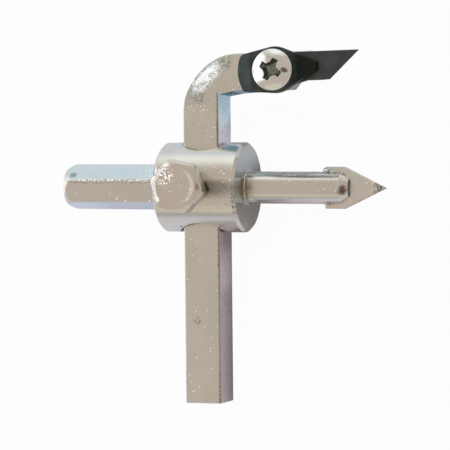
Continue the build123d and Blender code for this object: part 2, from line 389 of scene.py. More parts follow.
def hub_marks(s):
    """Stains round the pilot on the hub's end, with painted shade and a painted reflection on that end, dark dots
    and a painted highlight on its rims, a painted blue reflection on the barrel, and a painted dark reflection
    beside the bolt with painted highlights above.
    """
    x, y, z = s.axes
    radius = s.hypot(y, z)
    # End face: painted shade, greyer towards the leg, and a painted teal reflection towards the front; stains
    # round the pilot
    end_face = s.step(x, HUB_END - 0.15, HUB_END - 0.05)
    s.paint(s.times(end_face, s.step(y, -6.0, 4.0), 0.75), (0.58, 0.62, 0.62))
    s.paint(s.times(end_face, s.step(z, 2.5, 7.0), s.step(s.size(y), 8.0, 1.0), 0.75), (0.40, 0.51, 0.49))
    stained = s.times(end_face, s.step(s.plus(radius, s.times(s.noise(1.2, shift=3.0), 1.6)), 6.3, 5.7))
    s.paint(s.times(stained, s.step(s.size(y), 5.0, 2.5), 0.6),
            s.mix(s.patches(0.9, 0.42, 0.55), (0.22, 0.28, 0.26), (0.30, 0.33, 0.26)))
    # Rim at the pilot's end, and on the barrel a painted blue reflection and a dark spot
    rim = s.times(s.step(x, HUB_END - 0.95, HUB_END - 0.70), s.step(radius, HUB_RADIUS - 0.9, HUB_RADIUS - 0.5))
    rim = s.times(rim, s.step(s.size(s.plus(y, 3.5)), 6.0, 3.5), s.step(z, 0.0, 2.0))
    dots = s.times(rim, s.patches(0.36, 0.50, 0.56, detail=2.0, shift=5.0))
    s.paint(s.times(dots, 0.85), (0.16, 0.11, 0.085))
    s.paint(s.times(s.near((33.9, 10.8, 5.2), 2.4, 2.4, 1.2), 0.5), (0.56, 0.77, 0.95))
    s.paint(s.times(s.near((34.7, -10.6, 5.7), 0.6), 0.8), STAIN)
    # Rim at the shank's end, with a painted highlight in front
    painted_highlight = s.step(s.ragged(x, 1.2, 0.8, shift=33.0), HUB_START + 1.15, HUB_START + 0.85)
    painted_highlight = s.times(painted_highlight, s.between(y, -2.2, 5.4, 1.6), s.step(z, 4.0, 6.0))
    s.paint(s.times(painted_highlight, 0.85), HIGHLIGHT_WHITE)
    s.lean(painted_highlight, *TO_WINDOW)
    # Beside the bolt's head: a painted dark reflection of the head, with painted highlight grains above
    across = s.ragged(s.times(s.plus(y, 0.4), 2.9), 6.0, 2.5, rough=0.6, stretch=(0.4, 1.4, 1.0))
    along = s.times(s.plus(x, -45.0), 0.9)
    painted_shade = s.times(s.step(s.hypot(across, along), 8.8, 3.0), s.step(z, 2.0, 6.0))
    s.paint(s.times(painted_shade, 0.95), (0.36, 0.36, 0.32))
    grains = s.times(s.near((47.0, 3.0, 11.5), 6.5, 3.0, 2.0), s.step(s.cells(0.85, 3.0), 0.24, 0.16))
    s.glint(s.times(grains, s.patches(1.6, 0.46, 0.54, detail=2.0, shift=83.0)))
    s.roughen(s.times(stained, 0.15))
    s.lift(s.plus(s.times(stained, s.noise(0.6), 2.0), s.times(dots, -1.0)))


def rod_marks(s):
    """Dark flux at the rod's root, a rough line of drips along its upper side painted teal as a reflection,
    painted shade below, a painted dark reflection on its cone and painted highlights.
    """
    x, y, z = s.axes
    ragged = s.plus(x, s.times(s.noise(1.0), -1.4))
    root = s.times(s.step(x, HUB_END - 0.1, HUB_END), s.step(ragged, HUB_END + 0.7, HUB_END + 0.1))
    root = s.times(root, s.step(s.size(s.plus(y, 0.5)), 4.2, 2.0))
    s.paint(s.times(root, 0.75), s.mix(s.patches(0.7, 0.44, 0.60), BURNT, GOLD))
    singed = s.times(s.step(x, HUB_END + 3.0, HUB_END + 0.4), s.step(s.size(s.plus(y, 0.6)), 2.8, 0.8))
    s.paint(s.times(singed, s.step(z, 0.0, 1.0), 0.55), (0.48, 0.38, 0.28))
    across = s.ragged(y, 1.6, 1.3, detail=4.0, rough=0.6, stretch=(0.35, 1.0, 1.0))
    drips_and_reflection = s.times(s.between(across, 3.60, 3.90, 0.2), s.step(z, -0.5, 0.5))
    # The drips are painted teal, as the dark reflection of the clamp and blade
    s.paint(s.times(drips_and_reflection, 0.42), (0.34, 0.42, 0.45))
    # Painted shade on the rod's lower side
    s.paint(s.times(s.step(y, -3.2, -4.0), 0.35), (0.55, 0.45, 0.42))
    # A painted dark reflection on the cone
    s.paint(s.times(s.near((78.4, -0.6, 3.4), 1.7, 1.8, 0.9), 0.9), (0.16, 0.075, 0.08))
    # Painted highlights: bright grains below the drips, and along the cone's edge
    glints = s.times(s.between(across, 2.85, 3.3, 0.2), s.patches(0.6, 0.48, 0.58, detail=2.0, shift=61.0),
                     s.step(z, 0.0, 1.0))
    glints = s.most(glints, s.times(s.edge(0.6), s.step(x, 77.0, 77.3), s.step(z, 0.5, 1.5)))
    s.paint(s.times(glints, 0.8), HIGHLIGHT_WHITE)
    s.lean(s.times(glints, 0.6), *TO_WINDOW)
    s.roughen(s.plus(s.times(root, 0.2), s.times(drips_and_reflection, 0.1)))
    s.lift(s.times(drips_and_reflection, 1.5))


def facet(s, angle):
    """1 on the shank's flat whose normal stands at that angle from Y, towards Z."""
    _, y, z = s.axes
    height = s.plus(s.times(y, cos(radians(angle))), s.times(z, sin(radians(angle))))
    return s.step(height, SHANK_HALF - 0.15, SHANK_HALF - 0.05)


def shank_marks(s):
    """Painted blue reflections on the side flats, a painted highlight with a painted teal shadow along the upper
    edge, and a teal smudge by the end.
    """
    _, y, z = s.axes
    upper, lower = facet(s, SHANK_TURN + 30), facet(s, SHANK_TURN + 150)
    # Painted reflections: blue-grey on the upper flat, blue on the lower
    s.paint(s.times(upper, 0.8), (0.72, 0.79, 0.82))
    cloudy = s.patches(3.5, 0.46, 0.66, detail=2.0, rough=0.5, stretch=(0.5, 1, 1), shift=67.0)
    s.paint(s.times(upper, cloudy, 0.45), (0.66, 0.73, 0.84))
    s.paint(s.times(lower, 0.85), (0.70, 0.78, 0.93))
    s.paint(s.times(s.near((2.7, 3.4, 5.0), 1.6, 1.2), 0.75), (0.20, 0.30, 0.32))
    # Distance from the hexagon's upper front edge
    corner, corner_turn = SHANK_HALF / cos(radians(30)), radians(SHANK_TURN + 60)
    away = s.hypot(s.plus(y, -corner * cos(corner_turn)), s.plus(z, -corner * sin(corner_turn)))
    ragged = s.ragged(away, 1.8, 0.8, shift=13.0)
    spots = s.patches(0.45, 0.58, 0.64, detail=2.0, shift=43.0)
    towards_hub = s.times(s.near((27.0, 3.5, 5.0), 6.0, 5.0, 2.5), spots)
    painted_edge_highlight = s.most(s.times(s.step(ragged, 0.40, 0.24), s.patches(0.40, 0.50, 0.58, shift=47.0)), towards_hub)
    # A painted teal shadow beside the upper edge
    s.paint(s.times(s.between(ragged, 0.6, 0.8, 0.12), s.step(y, 2.0, 1.5), 0.4), (0.25, 0.36, 0.34))
    # A painted highlight along the upper edge
    s.paint(painted_edge_highlight, HIGHLIGHT_WHITE)
    s.lean(painted_edge_highlight, -0.35, -0.30, 0.0)
    s.roughen(s.times(painted_edge_highlight, 0.1))


def tip_marks(s):
    """Burnt specks at the spade's point and edges, a dark seam at the rod, straw tints by its back corner."""
    x, y, _ = s.axes
    near_point = s.step(s.ragged(x, 3.0, 1.5, shift=8.0), TIP_POINT - 3.6, TIP_POINT - 1.4)
    broken = s.patches(0.6, 0.52, 0.60, shift=3.0)
    along_edge = s.times(s.edge(0.5), broken, s.step(x, TIP_START + 5, TIP_START + 7))
    burnt = s.most(s.times(near_point, s.patches(0.5, 0.54, 0.46)), s.times(along_edge, 0.8))
    s.paint(s.times(s.near((TIP_START + 1.5, -5.4, TIP_FACE), 2.6, 2.0, 1.0), 0.4), (0.80, 0.62, 0.40))
    s.paint(s.times(burnt, 0.85), BURNT)
    seam = s.times(s.between(x, ROD_END, ROD_END + 0.35, 0.15), s.step(s.size(y), 2.7, 2.2))
    s.paint(s.times(seam, s.patches(0.6, 0.36, 0.46, shift=73.0), 0.8), (0.09, 0.13, 0.14))
    s.roughen(s.times(burnt, 0.2))
    s.lift(s.times(burnt, -0.8))


def bend_marks(s):
    """The bend's rough hollow: a painted highlight of bright grains in the middle, painted shadows between them,
    painted grey shade at its ends and sides, a soft inner limit.
    """
    x, y, z = s.axes
    out_x, out_y = s.plus(x, -BEND_X), s.plus(y, -BEND_Y)
    # Distances inwards from the middle of the bend's outside, along the bend, and from its outer curve
    inwards = s.times(s.plus(out_x, s.times(out_y, -1)), sqrt(0.5))
    along = s.times(s.plus(out_x, out_y), sqrt(0.5))
    from_outside = s.plus(inwards, s.times(s.times(along, along), -0.5 / BEND_RADIUS))
    reach = s.plus(inwards, s.times(s.times(along, along), 0.030))
    on_face = s.step(s.size(z), 3.2, 3.8)
    hollow = s.times(s.step(reach, 5.2, 4.5), s.step(s.size(along), 12.0, 10.0), on_face)
    fade = s.plus(s.times(s.size(s.plus(along, -1.0)), 0.036),
                  s.times(s.most(s.plus(inwards, -1.2), 0.0), 0.11),
                  s.times(s.most(s.plus(1.2, s.times(from_outside, -1)), 0.0), 0.40))
    to_ends = s.most(s.plus(s.size(along), -4.4), 0.0)
    fade = s.plus(s.math("MINIMUM", fade, 0.25), s.times(to_ends, 0.075))
    grains = s.noise(0.32, 3.0, 0.7, shift=17.0)
    thick = s.plus(grains, s.times(s.noise(1.8, 2.0, shift=4.0), 0.35))
    bright = s.times(hollow, s.step(s.math("SUBTRACT", thick, fade), 0.37, 0.50))
    painted_shade = s.times(hollow, s.step(bright, 0.6, 0.3))
    # Painted highlight of bright grains, painted shadows between them and painted grey shade round them
    s.paint(bright, (0.93, 0.96, 0.99))
    s.paint(s.times(hollow, s.step(grains, 0.46, 0.36), 0.45), (0.40, 0.43, 0.45))
    s.paint(s.times(painted_shade, 0.75), (0.54, 0.57, 0.58))
    # Painted grey shade towards the ends
    ends = s.times(s.step(reach, 7.5, 5.5), s.between(s.size(along), 5.5, 9.5, 2.0), on_face)
    s.paint(s.times(ends, 0.45), (0.62, 0.65, 0.60))
    s.lean(painted_shade, 0.135, -0.135, 0.0)
    s.lean(s.times(bright, 0.35), *TO_WINDOW)
    s.sparkle(hollow, 0.40, 0.28, 5.0)
    # Painted grey shade along the outer curve
    outer = s.times(s.step(from_outside, 1.2, 0.3), s.step(s.size(along), 9.0, 6.0), on_face)
    s.paint(s.times(outer, 0.5), (0.50, 0.54, 0.55))
    inner = s.times(s.between(reach, 4.8, 5.8, 0.5), on_face, s.patches(0.8, 0.50, 0.60, shift=23.0))
    s.paint(s.times(inner, 0.30), (0.30, 0.31, 0.30))
    for point, radius in (((7.2, 32.7, BAR_HALF), 2.3), ((-0.1, 23.6, BAR_HALF), 2.6)):
        smudge = s.times(s.near(point, radius, 2.6, 1.0), s.patches(0.7, 0.42, 0.54, shift=51.0))
        s.paint(s.times(smudge, 0.6), (0.22, 0.24, 0.23))
    s.roughen(s.times(hollow, 0.10))
    s.lift(s.times(hollow, grains, 5.0))
    s.soft = s.plus(0.12, s.times(s.between(reach, 4.3, 6.0, 0.6), on_face, s.step(s.size(along), 8.5, 7.0), 1.4))


def arm_edge_marks(s, bar):
    """A thin dark line with dots along the straight bar's front edge beside the pilot, and dots on the other."""
    x, y, z = s.axes
    line = s.times(bar, s.between(x, 4.66, 5.1, 0.1), s.between(z, 4.66, 5.1, 0.1))
    band = s.times(bar, s.between(x, 4.40, 5.1, 0.12), s.between(z, 4.5, 5.1, 0.12))
    more_above_hub = s.times(s.step(y, 8.0, 14.0), 0.07)
    dots = s.times(band, s.step(s.plus(s.noise(0.42, 2.0, shift=29.0), more_above_hub), 0.52, 0.58))
    s.paint(s.most(s.times(line, 0.80), s.times(dots, 0.75)),
            s.mix(s.patches(0.7, 0.50, 0.58, shift=63.0), (0.13, 0.115, 0.08), (0.34, 0.20, 0.10)))
    far_edge = s.times(bar, s.between(x, -5.1, -4.75, 0.1), s.between(z, 4.6, 5.1, 0.12))
    s.paint(s.times(far_edge, s.patches(0.6, 0.56, 0.62, detail=2.0, shift=39.0), 0.6), (0.20, 0.17, 0.12))


def arm_side_marks(s, bar):
    """Painted reflections on the side that faces the pilot: blue by the inner corner, brown towards the foot,
    paler above the hub.
    """
    x, y, z = s.axes
    side = s.times(s.step(x, 4.85, 4.98), bar)
    # Painted brownish reflection towards the foot
    s.paint(s.times(side, s.step(y, 4.0, -8.0), 0.75), (0.67, 0.57, 0.56))
    above_hub = s.times(side, s.step(y, 8.0, 12.0))
    # Painted paler above the hub, against the shade there
    s.paint(s.times(above_hub, 0.9), (0.95, 0.93, 1.0))
    s.lean(s.times(side, s.between(y, -24.0, -12.0, 6.0), 0.12), 0.0, 0.0, 1.0)
    s.lean(s.times(above_hub, 0.40), 0.0, 0.0, 1.0)
    under = s.times(s.step(x, 4.9, 5.4), s.step(x, 18.0, 13.0), s.step(y, 27.0, 25.6))
    corner = s.near((5.0, 25.0, 0.0), 11.0, 4.0, 3.0)
    not_front = s.step(z, 4.9, 4.6)
    # Painted blue reflection by the inner corner and under the leg
    s.paint(s.times(corner, not_front, s.most(side, under), 0.85), (0.56, 0.86, 1.0))
    s.lean(s.times(corner, not_front, side, 0.28), 0.0, 0.0, 1.0)
    s.paint(s.times(under, not_front, 0.70), (0.48, 0.78, 1.0))


def arm_marks(s):
    """The bend's rough hollow, painted highlight specks below it, dotted edges, painted reflections on the side
    and an olive cast in front.
    """
    _, y, z = s.axes
    bend_marks(s)
    # Painted highlight specks below the bend
    s.glint(s.times(s.near((-1.0, 20.5, BAR_HALF), 6.0, 4.0, 2.0), s.step(s.cells(0.75, 9.0), 0.16, 0.11)))
    bar = s.step(y, LEG_LOW + 0.1, LEG_LOW - 0.2)
    arm_edge_marks(s, bar)
    arm_side_marks(s, bar)
    s.paint(s.times(s.near((6.9, 26.5, BAR_HALF), 2.6, 1.5), 0.30), (0.82, 0.62, 0.45))
    scratch = s.times(s.near((-1.4, -35.6, BAR_HALF), 1.3, 1.5, 0.8), s.patches(0.5, 0.48, 0.56, shift=91.0))
    s.paint(s.times(scratch, 0.8), STAIN)
    olive = s.patches(11.0, 0.44, 0.60, detail=2.0, rough=0.5, stretch=(1.4, 0.5, 1.0), shift=97.0)
    s.paint(s.times(olive, s.step(z, 4.8, 4.9), 0.35), (0.70, 0.70, 0.60))


def bolt_marks(s):
    """Forging rings on the head's face, bruises with rust between them and painted highlights on their pits, and a
    painted highlight on the chamfer's left.
    """
    x, y, z = s.axes
    dx = s.plus(x, -BOLT_X)
    radius = s.hypot(dx, y)
    on_face = s.step(z, HEAD_TOP - 0.45, HEAD_TOP - 0.30)
    wavy = s.plus(radius, s.times(s.noise(2.5), 0.8))
    rings = s.times(s.math("SINE", s.times(wavy, 8.0)), s.step(radius, 5.5, 5.0), on_face)
    bruised = s.near((BOLT_X - 3.6, 3.0, HEAD_TOP), 3.8, 3.0, 1.5)
    pits = s.times(bruised, s.patches(0.6, 0.52, 0.58, rough=0.6, shift=37.0))
    rust = s.times(bruised, s.patches(0.7, 0.48, 0.56, detail=2.0, shift=41.0))
    s.paint(s.times(rust, 0.7), (0.52, 0.36, 0.25))
    s.paint(s.times(on_face, 0.25), (0.84, 0.75, 0.68))
    # Painted highlights on the bruises' pits
    s.glint(pits)
    s.sparkle(s.most(pits, rust), 0.7, 0.5, 9.0)
    # The chamfer has a painted highlight on the left, and is battered flat below that
    painted_highlight = s.step(s.ragged(radius, 1.4, 0.9, shift=21.0), 5.4, 5.8)
    broken = s.patches(0.55, 0.40, 0.52, shift=87.0)
    painted_highlight = s.times(painted_highlight, s.between(y, -3.0, 6.0, 1.0), s.step(dx, -1.6, -3.4), broken)
    s.paint(s.times(painted_highlight, 0.7), HIGHLIGHT_WHITE)
    s.lean(s.times(painted_highlight, on_face), *TO_WINDOW)
    battered = s.times(s.step(radius, 5.2, 5.9), s.step(y, -3.0, -4.5), s.step(dx, 0.0, -2.0),
                       s.step(z, HEAD_TOP - 2.0, HEAD_TOP - 1.5))
    s.lean(s.times(battered, 0.9), 0.40, 0.22, 0.0)
    s.lift(s.plus(s.times(rings, 0.30), s.times(pits, 5.0)))


def dark_steel(name, low, high, body_rough, edge_colour, edge_share, marks=None):
    """Blackened steel with soft blotches, fine scratches and paler edges."""
    s = Shader(name, leaning=True)
    s.soft = 0.15
    cloud = s.noise(3.5, 4.0)
    grain = s.noise(0.25, 4.0, 0.65)
    scratch = s.patches(0.5, 0.60, 0.68, detail=5.0, rough=0.7, stretch=(0.12, 1.6, 1.0))
    speck = s.times(s.step(s.cells(1.3, 5.0), 0.13, 0.06), s.patches(2.2, 0.50, 0.60, detail=2.0, shift=3.0))
    s.colour = s.mix(s.step(cloud, 0.3, 0.7), low, high)
    s.paint(s.times(scratch, 0.18), edge_colour)
    s.paint(s.times(speck, 0.5), edge_colour)
    s.paint(s.times(s.edge(0.35), s.patches(0.9, 0.35, 0.60, shift=11.0), edge_share), edge_colour)
    s.rough = s.plus(body_rough, s.times(grain, 0.15), s.times(scratch, -0.05))
    s.height = s.plus(s.times(grain, 0.7), s.times(scratch, -0.3), s.times(speck, 0.8), s.times(cloud, 0.6))
    if marks:
        marks(s)
    return s.finish(0.015)


def clamp_marks(s):
    """Painted shade: the clamp's nose is darker."""
    nose = s.step(s.ragged(s.axes[0], 2.0, 2.0, shift=6.0), SCREW_X + 3.0, SCREW_X + 7.0)
    s.paint(s.times(nose, 0.8), (0.018, 0.022, 0.018))


def bright_plate(name):
    """Polished nickel with faint ripples and a few hair scratches, and painted shade down in the cross."""
    s = Shader(name, leaning=True)
    x, y, z = s.axes
    ripple = s.noise(2.2, 2.0)
    scratch = s.patches(0.35, 0.62, 0.70, detail=4.0, rough=0.7, stretch=(1.0, 0.2, 1.0))
    # The cross is what lies deeper than the dome's sphere
    aside = s.hypot(s.plus(x, -SCREW_X), s.plus(y, -SCREW_Y))
    from_centre = s.hypot(aside, s.plus(z, -DOME_Z))
    cross = s.times(s.step(from_centre, DOME_RADIUS - 0.08, DOME_RADIUS - 0.25), s.step(aside, 3.9, 3.6))
    s.colour = s.mix(s.times(s.patches(3.0, 0.4, 0.7, shift=2.0), 0.3), (0.86, 0.86, 0.85), (0.74, 0.75, 0.76))
    s.paint(s.times(s.edge(0.5), s.patches(0.5, 0.45, 0.60), 0.25), (0.30, 0.28, 0.25))
    # Painted shade down in the cross
    s.paint(s.times(cross, 0.92), s.mix(s.patches(0.8, 0.35, 0.65), (0.13, 0.155, 0.135), (0.27, 0.28, 0.24)))
    s.rough = s.plus(0.09, s.times(scratch, 0.12), s.times(ripple, 0.05), s.times(cross, 0.25))
    s.height = s.plus(ripple, s.times(scratch, -0.05))
    return s.finish(0.03)


def braze(name):
    """Lumpy brazing metal under the plating: cream at the hub, blue-grey at the spade, with burnt hollows and
    painted highlight spots.
    """
    s = Shader(name)
    bright = s.mix(s.step(s.axes[0], HUB_END + 5.0, HUB_END + 6.0), (0.82, 0.82, 0.74), ZINC_BLUE)
    s.colour = s.mix(s.patches(0.9, 0.34, 0.47), (0.38, 0.31, 0.16), bright)
    s.paint(s.patches(0.6, 0.58, 0.66, detail=2.0, shift=15.0), STAIN)
    # Painted highlight spots
    s.paint(s.times(s.patches(0.45, 0.58, 0.64, detail=2.0, shift=25.0), 0.9), HIGHLIGHT_WHITE)
    s.rough = s.plus(0.16, s.times(s.noise(0.5, shift=35.0), 0.15))
    s.height = s.noise(0.5, shift=45.0)
    return s.finish(0.06)


def smooth_object(name, mesh, material):
    """A bmesh as an object with smooth faces and one material."""
    bmesh.ops.recalc_face_normals(mesh, faces=mesh.faces)
    for face in mesh.faces:
        face.smooth = True
    data = bpy.data.meshes.new(name)
    mesh.to_mesh(data)
    mesh.free()
    data.materials.append(material)
    piece = bpy.data.objects.new(name, data)
    bpy.context.scene.collection.objects.link(piece)
    return piece


def join_rings(mesh, a, b):
    """Faces between two rings of equally many vertices."""
    count = len(a)
    for k in range(count):
        mesh.faces.new((a[k], a[(k + 1) % count], b[(k + 1) % count], b[k]))


BEAD_SIDES = 12


def bead(name, stations, reference, material, closed=False, lumps=0.5):
    """A lumpy bead through stations of centre and radius, in the tool frame's millimetres."""
    mesh = bmesh.new()
    count = len(stations)
    rings = []
    for i, (centre, radius) in enumerate(stations):
        if closed:
            along = stations[(i + 1) % count][0] - stations[i - 1][0]
        else:
            along = stations[min(i + 1, count - 1)][0] - stations[max(i - 1, 0)][0]
        side = along.cross(reference).normalized()
        up = side.cross(along).normalized()
        ring = []
        for k in range(BEAD_SIDES):
            turn = 2 * pi * k / BEAD_SIDES
            ray = side * cos(turn) + up * sin(turn)
            swell = 1 + lumps * noise.noise((centre + ray * radius) * 1.3)
            ring.append(mesh.verts.new(row_point(*(centre + ray * radius * swell))))
        rings.append(ring)
    for i in range(count if closed else count - 1):
        join_rings(mesh, rings[i], rings[(i + 1) % count])
    if not closed:
        mesh.faces.new(rings[0])
        mesh.faces.new(rings[-1])
    piece = smooth_object(name, mesh, material)
    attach(piece, "holder")
    return piece


def smooth_path(points, steps):
    """Points and radii on a smooth line through the given ones."""
    line = []
    for i in range(len(points) - 1):
        p0, p1 = points[max(i - 1, 0)], points[i]
        p2, p3 = points[i + 1], points[min(i + 2, len(points) - 1)]
        for k in range(steps):
            t = k / steps
            line.append([0.5 * (2 * b + (c - a) * t + (2 * a - 5 * b + 4 * c - d) * t * t
                                + (3 * b - a - 3 * c + d) * t ** 3) for a, b, c, d in zip(p0, p1, p2, p3)])
    line.append(list(points[-1]))
    return [(Vector(p[:3]), p[3]) for p in line]


def add_brazing():
    """Braze round the pilot at the hub's end, and along the four seams between the rod and the spade."""
    metal = braze("braze_metal")
    ring = []
    stations = 96
    for k in range(stations):
        turn = 2 * pi * k / stations
        wander = noise.noise(Vector((cos(turn), sin(turn), 0.3)) * 2.1)
        reach = ROD_RADIUS + 0.20 + 0.12 * wander
        ring.append((Vector((HUB_END + 0.10, reach * cos(turn), reach * sin(turn))), 0.36 + 0.08 * wander))
    bead("braze_collar", ring, Vector((1, 0, 0)), metal, closed=True, lumps=0.35)
    seam = sqrt(ROD_RADIUS ** 2 - TIP_FACE ** 2)
    for name, up, face, size in (("upper_front", 1, 1, 1.2), ("lower_front", -1, 1, 0.55),
                                 ("upper_back", 1, -1, 0.7), ("lower_back", -1, -1, 0.6)):
        points = [(TIP_START - 0.7, up * (seam + 0.10), face * (TIP_FACE - 0.5), 0.15 * size),
                  (TIP_START + 0.1, up * (seam + 0.35 * size), face * (TIP_FACE - 0.1), 0.60 * size),
                  (TIP_START + 1.1, up * (seam + 0.45 * size), face * TIP_FACE, 0.50 * size),
                  (TIP_START + 2.2, up * (seam + 0.10), face * TIP_FACE, 0.45 * size),
                  (TIP_START + 3.4, up * (seam + 0.05), face * TIP_FACE, 0.34 * size),
                  (TIP_START + 4.6, up * (seam - 0.35), face * TIP_FACE, 0.26 * size),
                  (TIP_START + 5.5, up * (seam - 1.00), face * TIP_FACE, 0.14 * size)]
        bead("braze_" + name, smooth_path(points, 8), Vector((0, 0, 1)), metal)


def arm_point(x, y, z):
    """A point of the arm's own frame, in the tool frame."""
    return Vector((ARM_X + x * cos(arm_lean) - y * sin(arm_lean), x * sin(arm_lean) + y * cos(arm_lean), z))


def skin(name, rings, material, node):
    """A closed surface through rings of equally many tool-frame points, which stands for a CAD node."""
    mesh = bmesh.new()
    rows = [[mesh.verts.new(row_point(*point)) for point in ring] for ring in rings]
    for a, b in zip(rows, rows[1:]):
        join_rings(mesh, a, b)
    for row in (rows[0], rows[-1]):
        middle = mesh.verts.new(sum((vertex.co for vertex in row), Vector()) / len(row))
        for k, vertex in enumerate(row):
            mesh.faces.new((vertex, row[(k + 1) % len(row)], middle))
    piece = smooth_object(name, mesh, material)
    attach(piece, node)
    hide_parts(node)
    return piece


def circle(place, sides, out, z):
    """A ring of points round a piece's own axis."""
    return [place(out * cos(2 * pi * k / sides), out * sin(2 * pi * k / sides), z) for k in range(sides)]


RINGS_A_TURN = 8


def thread(place, top, end, radius, depth, pitch, sides, point):
    """Rings down a right-handed thread from top to end, coned by 45 degrees to the point's radius at its end."""
    count = round((top - end) / pitch * RINGS_A_TURN)
    rings = []
    for i in range(count + 1):
        z = top + (end - top) * i / count
        run_out = min(1.0, (top - z) / (0.5 * pitch))
        ring = []
        for k in range(sides):
            turn = k / sides
            flank = abs(2 * ((z / pitch - turn) % 1.0) - 1)
            groove = depth * run_out * min(1.0, 1.3 * flank)
            reach = min(radius - groove, point + (z - end))
            ring.append(place(reach * cos(2 * pi * turn), reach * sin(2 * pi * turn), z))
        rings.append(ring)
    return rings


CROSS_TURN = radians(62)
CROSS_WING_HALF, CROSS_WING_REACH = 0.84, 2.95
CROSS_CORE_RADIUS, CROSS_FILLET = 1.75, 0.22
CROSS_DEPTH, CROSS_WING_DEPTH, CROSS_FLOOR_SLOPE = 2.0, 0.55, 1.35
CROSS_WALL_SLOPE = 4.3
CROSS_OUTSIDE = -1.5
LIP_ROUNDING = 0.02
# The wear of the cross: amount, frequency and plane of each noise
CROSS_WEAR = ((0.13, 1.5, 0.7), (0.05, 4.0, 3.7))


def recess(u, v):
    """How deep the screw's cross is at a point of its head, in millimetres, along its own two wings."""
    out = sqrt(u * u + v * v)
    # Distances inside the two wings and the round core, blended with a fillet and then worn
    inside = (min(CROSS_WING_HALF - abs(v), CROSS_WING_REACH - abs(u)),
              min(CROSS_WING_HALF - abs(u), CROSS_WING_REACH - abs(v)), CROSS_CORE_RADIUS - out)
    depth = CROSS_FILLET * log(sum(exp(value / CROSS_FILLET) for value in inside))
    for amount, frequency, plane in CROSS_WEAR:
        depth += amount * noise.noise(Vector((u, v, plane)) * frequency)
    wall = depth * CROSS_WALL_SLOPE
    if wall <= CROSS_OUTSIDE:
        return 0.0
    lip = 0.5 * (wall + sqrt(wall * wall + LIP_ROUNDING))
    floor = min(CROSS_DEPTH, CROSS_WING_DEPTH + max(0.0, CROSS_WING_REACH - out) * CROSS_FLOOR_SLOPE)
    return min(lip, floor)


def add_screw():
    """The blade's screw: a slightly rippled dome with a worn cross, and its thread through to the leg's back."""
    sides, edge, rim_drop = 160, 0.4, 0.12

    def place(x, y, z):
        return arm_point(SCREW_X + x, SCREW_Y + y, z)

    def dome(out):
        return DOME_Z + sqrt(DOME_RADIUS ** 2 - out * out)

    # Closely spaced rings over the cross, wider ones outside it
    rings = []
    for out in [0.06 + 0.07 * i for i in range(54)] + [3.95 + 0.15 * i for i in range(8)]:
        ring = []
        for k in range(sides):
            turn = 2 * pi * k / sides
            x, y = out * cos(turn), out * sin(turn)
            u = x * cos(CROSS_TURN) + y * sin(CROSS_TURN)
            v = y * cos(CROSS_TURN) - x * sin(CROSS_TURN)
            calm = min(1.0, (SCREW_HEAD_RADIUS - out) / 0.8)
            ripple = 0.035 * noise.noise(Vector((x, y, 5.0)) * 0.55) * calm
            ring.append(place(x, y, dome(out) + ripple - recess(u, v)))
        rings.append(ring)
    last = SCREW_HEAD_RADIUS - edge
    for bend in (0.0, 0.25, 0.5, 0.75, 1.0):
        out = last + edge * sin(bend * pi / 2)
        z = dome(last) - rim_drop * bend - edge * (1 - cos(bend * pi / 2))
        rings.append(circle(place, sides, out, z))
    for out, z in ((SCREW_HEAD_RADIUS, SCREW_SEAT + 0.1), (SCREW_HEAD_RADIUS - 0.1, SCREW_SEAT),
                   (2.5, SCREW_SEAT)):
        rings.append(circle(place, sides, out, z))
    rings += thread(place, SCREW_SEAT - 0.02, SCREW_END, radius=2.5, depth=0.45, pitch=0.8, sides=sides, point=1.9)
    return skin("dome_screw", rings, bright_plate("screw_nickel"), "blade_screw")


BOLT_HEAD_HEIGHT = 4.5
FLATS_HALF, CORNER_TURN = 6.5, radians(-12)
BLUNT_BEYOND = 7.15
FACE_RADIUS, CHAMFER_SLOPE = 5.7, tan(radians(30))
DISH_RADIUS, DISH_SLOPE_WIDTH, DISH_DEPTH = 5.35, 1.3, 0.10
# The bruised corner: its centre on the head, its radius, and how deep it is and how uneven
BRUISE_X, BRUISE_Y, BRUISE_RADIUS = -4.3, 3.2, 3.2
BRUISE_DEPTH, BRUISE_UNEVEN = 0.10, 0.22
CHAMFER_ROUNDING = 0.02
FACE_SINK, FACE_WAVE = 0.015, 0.012


def head_outline(turn):
    """The hexagon's reach from its axis in a direction, with blunted corners."""
    flat = FLATS_HALF / cos((turn - CORNER_TURN) % (pi / 3) - pi / 6)
    return flat - 0.5 * max(0.0, flat - BLUNT_BEYOND)


def head_top(x, y):
    """The height of the forged head over a point beside the bolt's axis."""
    out = sqrt(x * x + y * y)
    dish = min(1.0, max(0.0, (DISH_RADIUS - out) / DISH_SLOPE_WIDTH))
    dish = DISH_DEPTH * dish * dish * (3 - 2 * dish)
    beyond = out - FACE_RADIUS
    chamfer = 0.5 * (beyond + sqrt(beyond * beyond + CHAMFER_ROUNDING)) * CHAMFER_SLOPE
    painted_edge_highlight = max(0.0, 1 - Vector((x - BRUISE_X, y - BRUISE_Y)).length / BRUISE_RADIUS)
    dent = painted_edge_highlight * (BRUISE_DEPTH + BRUISE_UNEVEN * noise.noise(Vector((x, y, 1.0)) * 1.1))
    wave = FACE_WAVE * noise.noise(Vector((x, y, 2.0)) * 0.5)
    return HEAD_TOP - FACE_SINK - dish - max(0.0, chamfer - 0.004) - max(0.0, dent) - abs(wave)


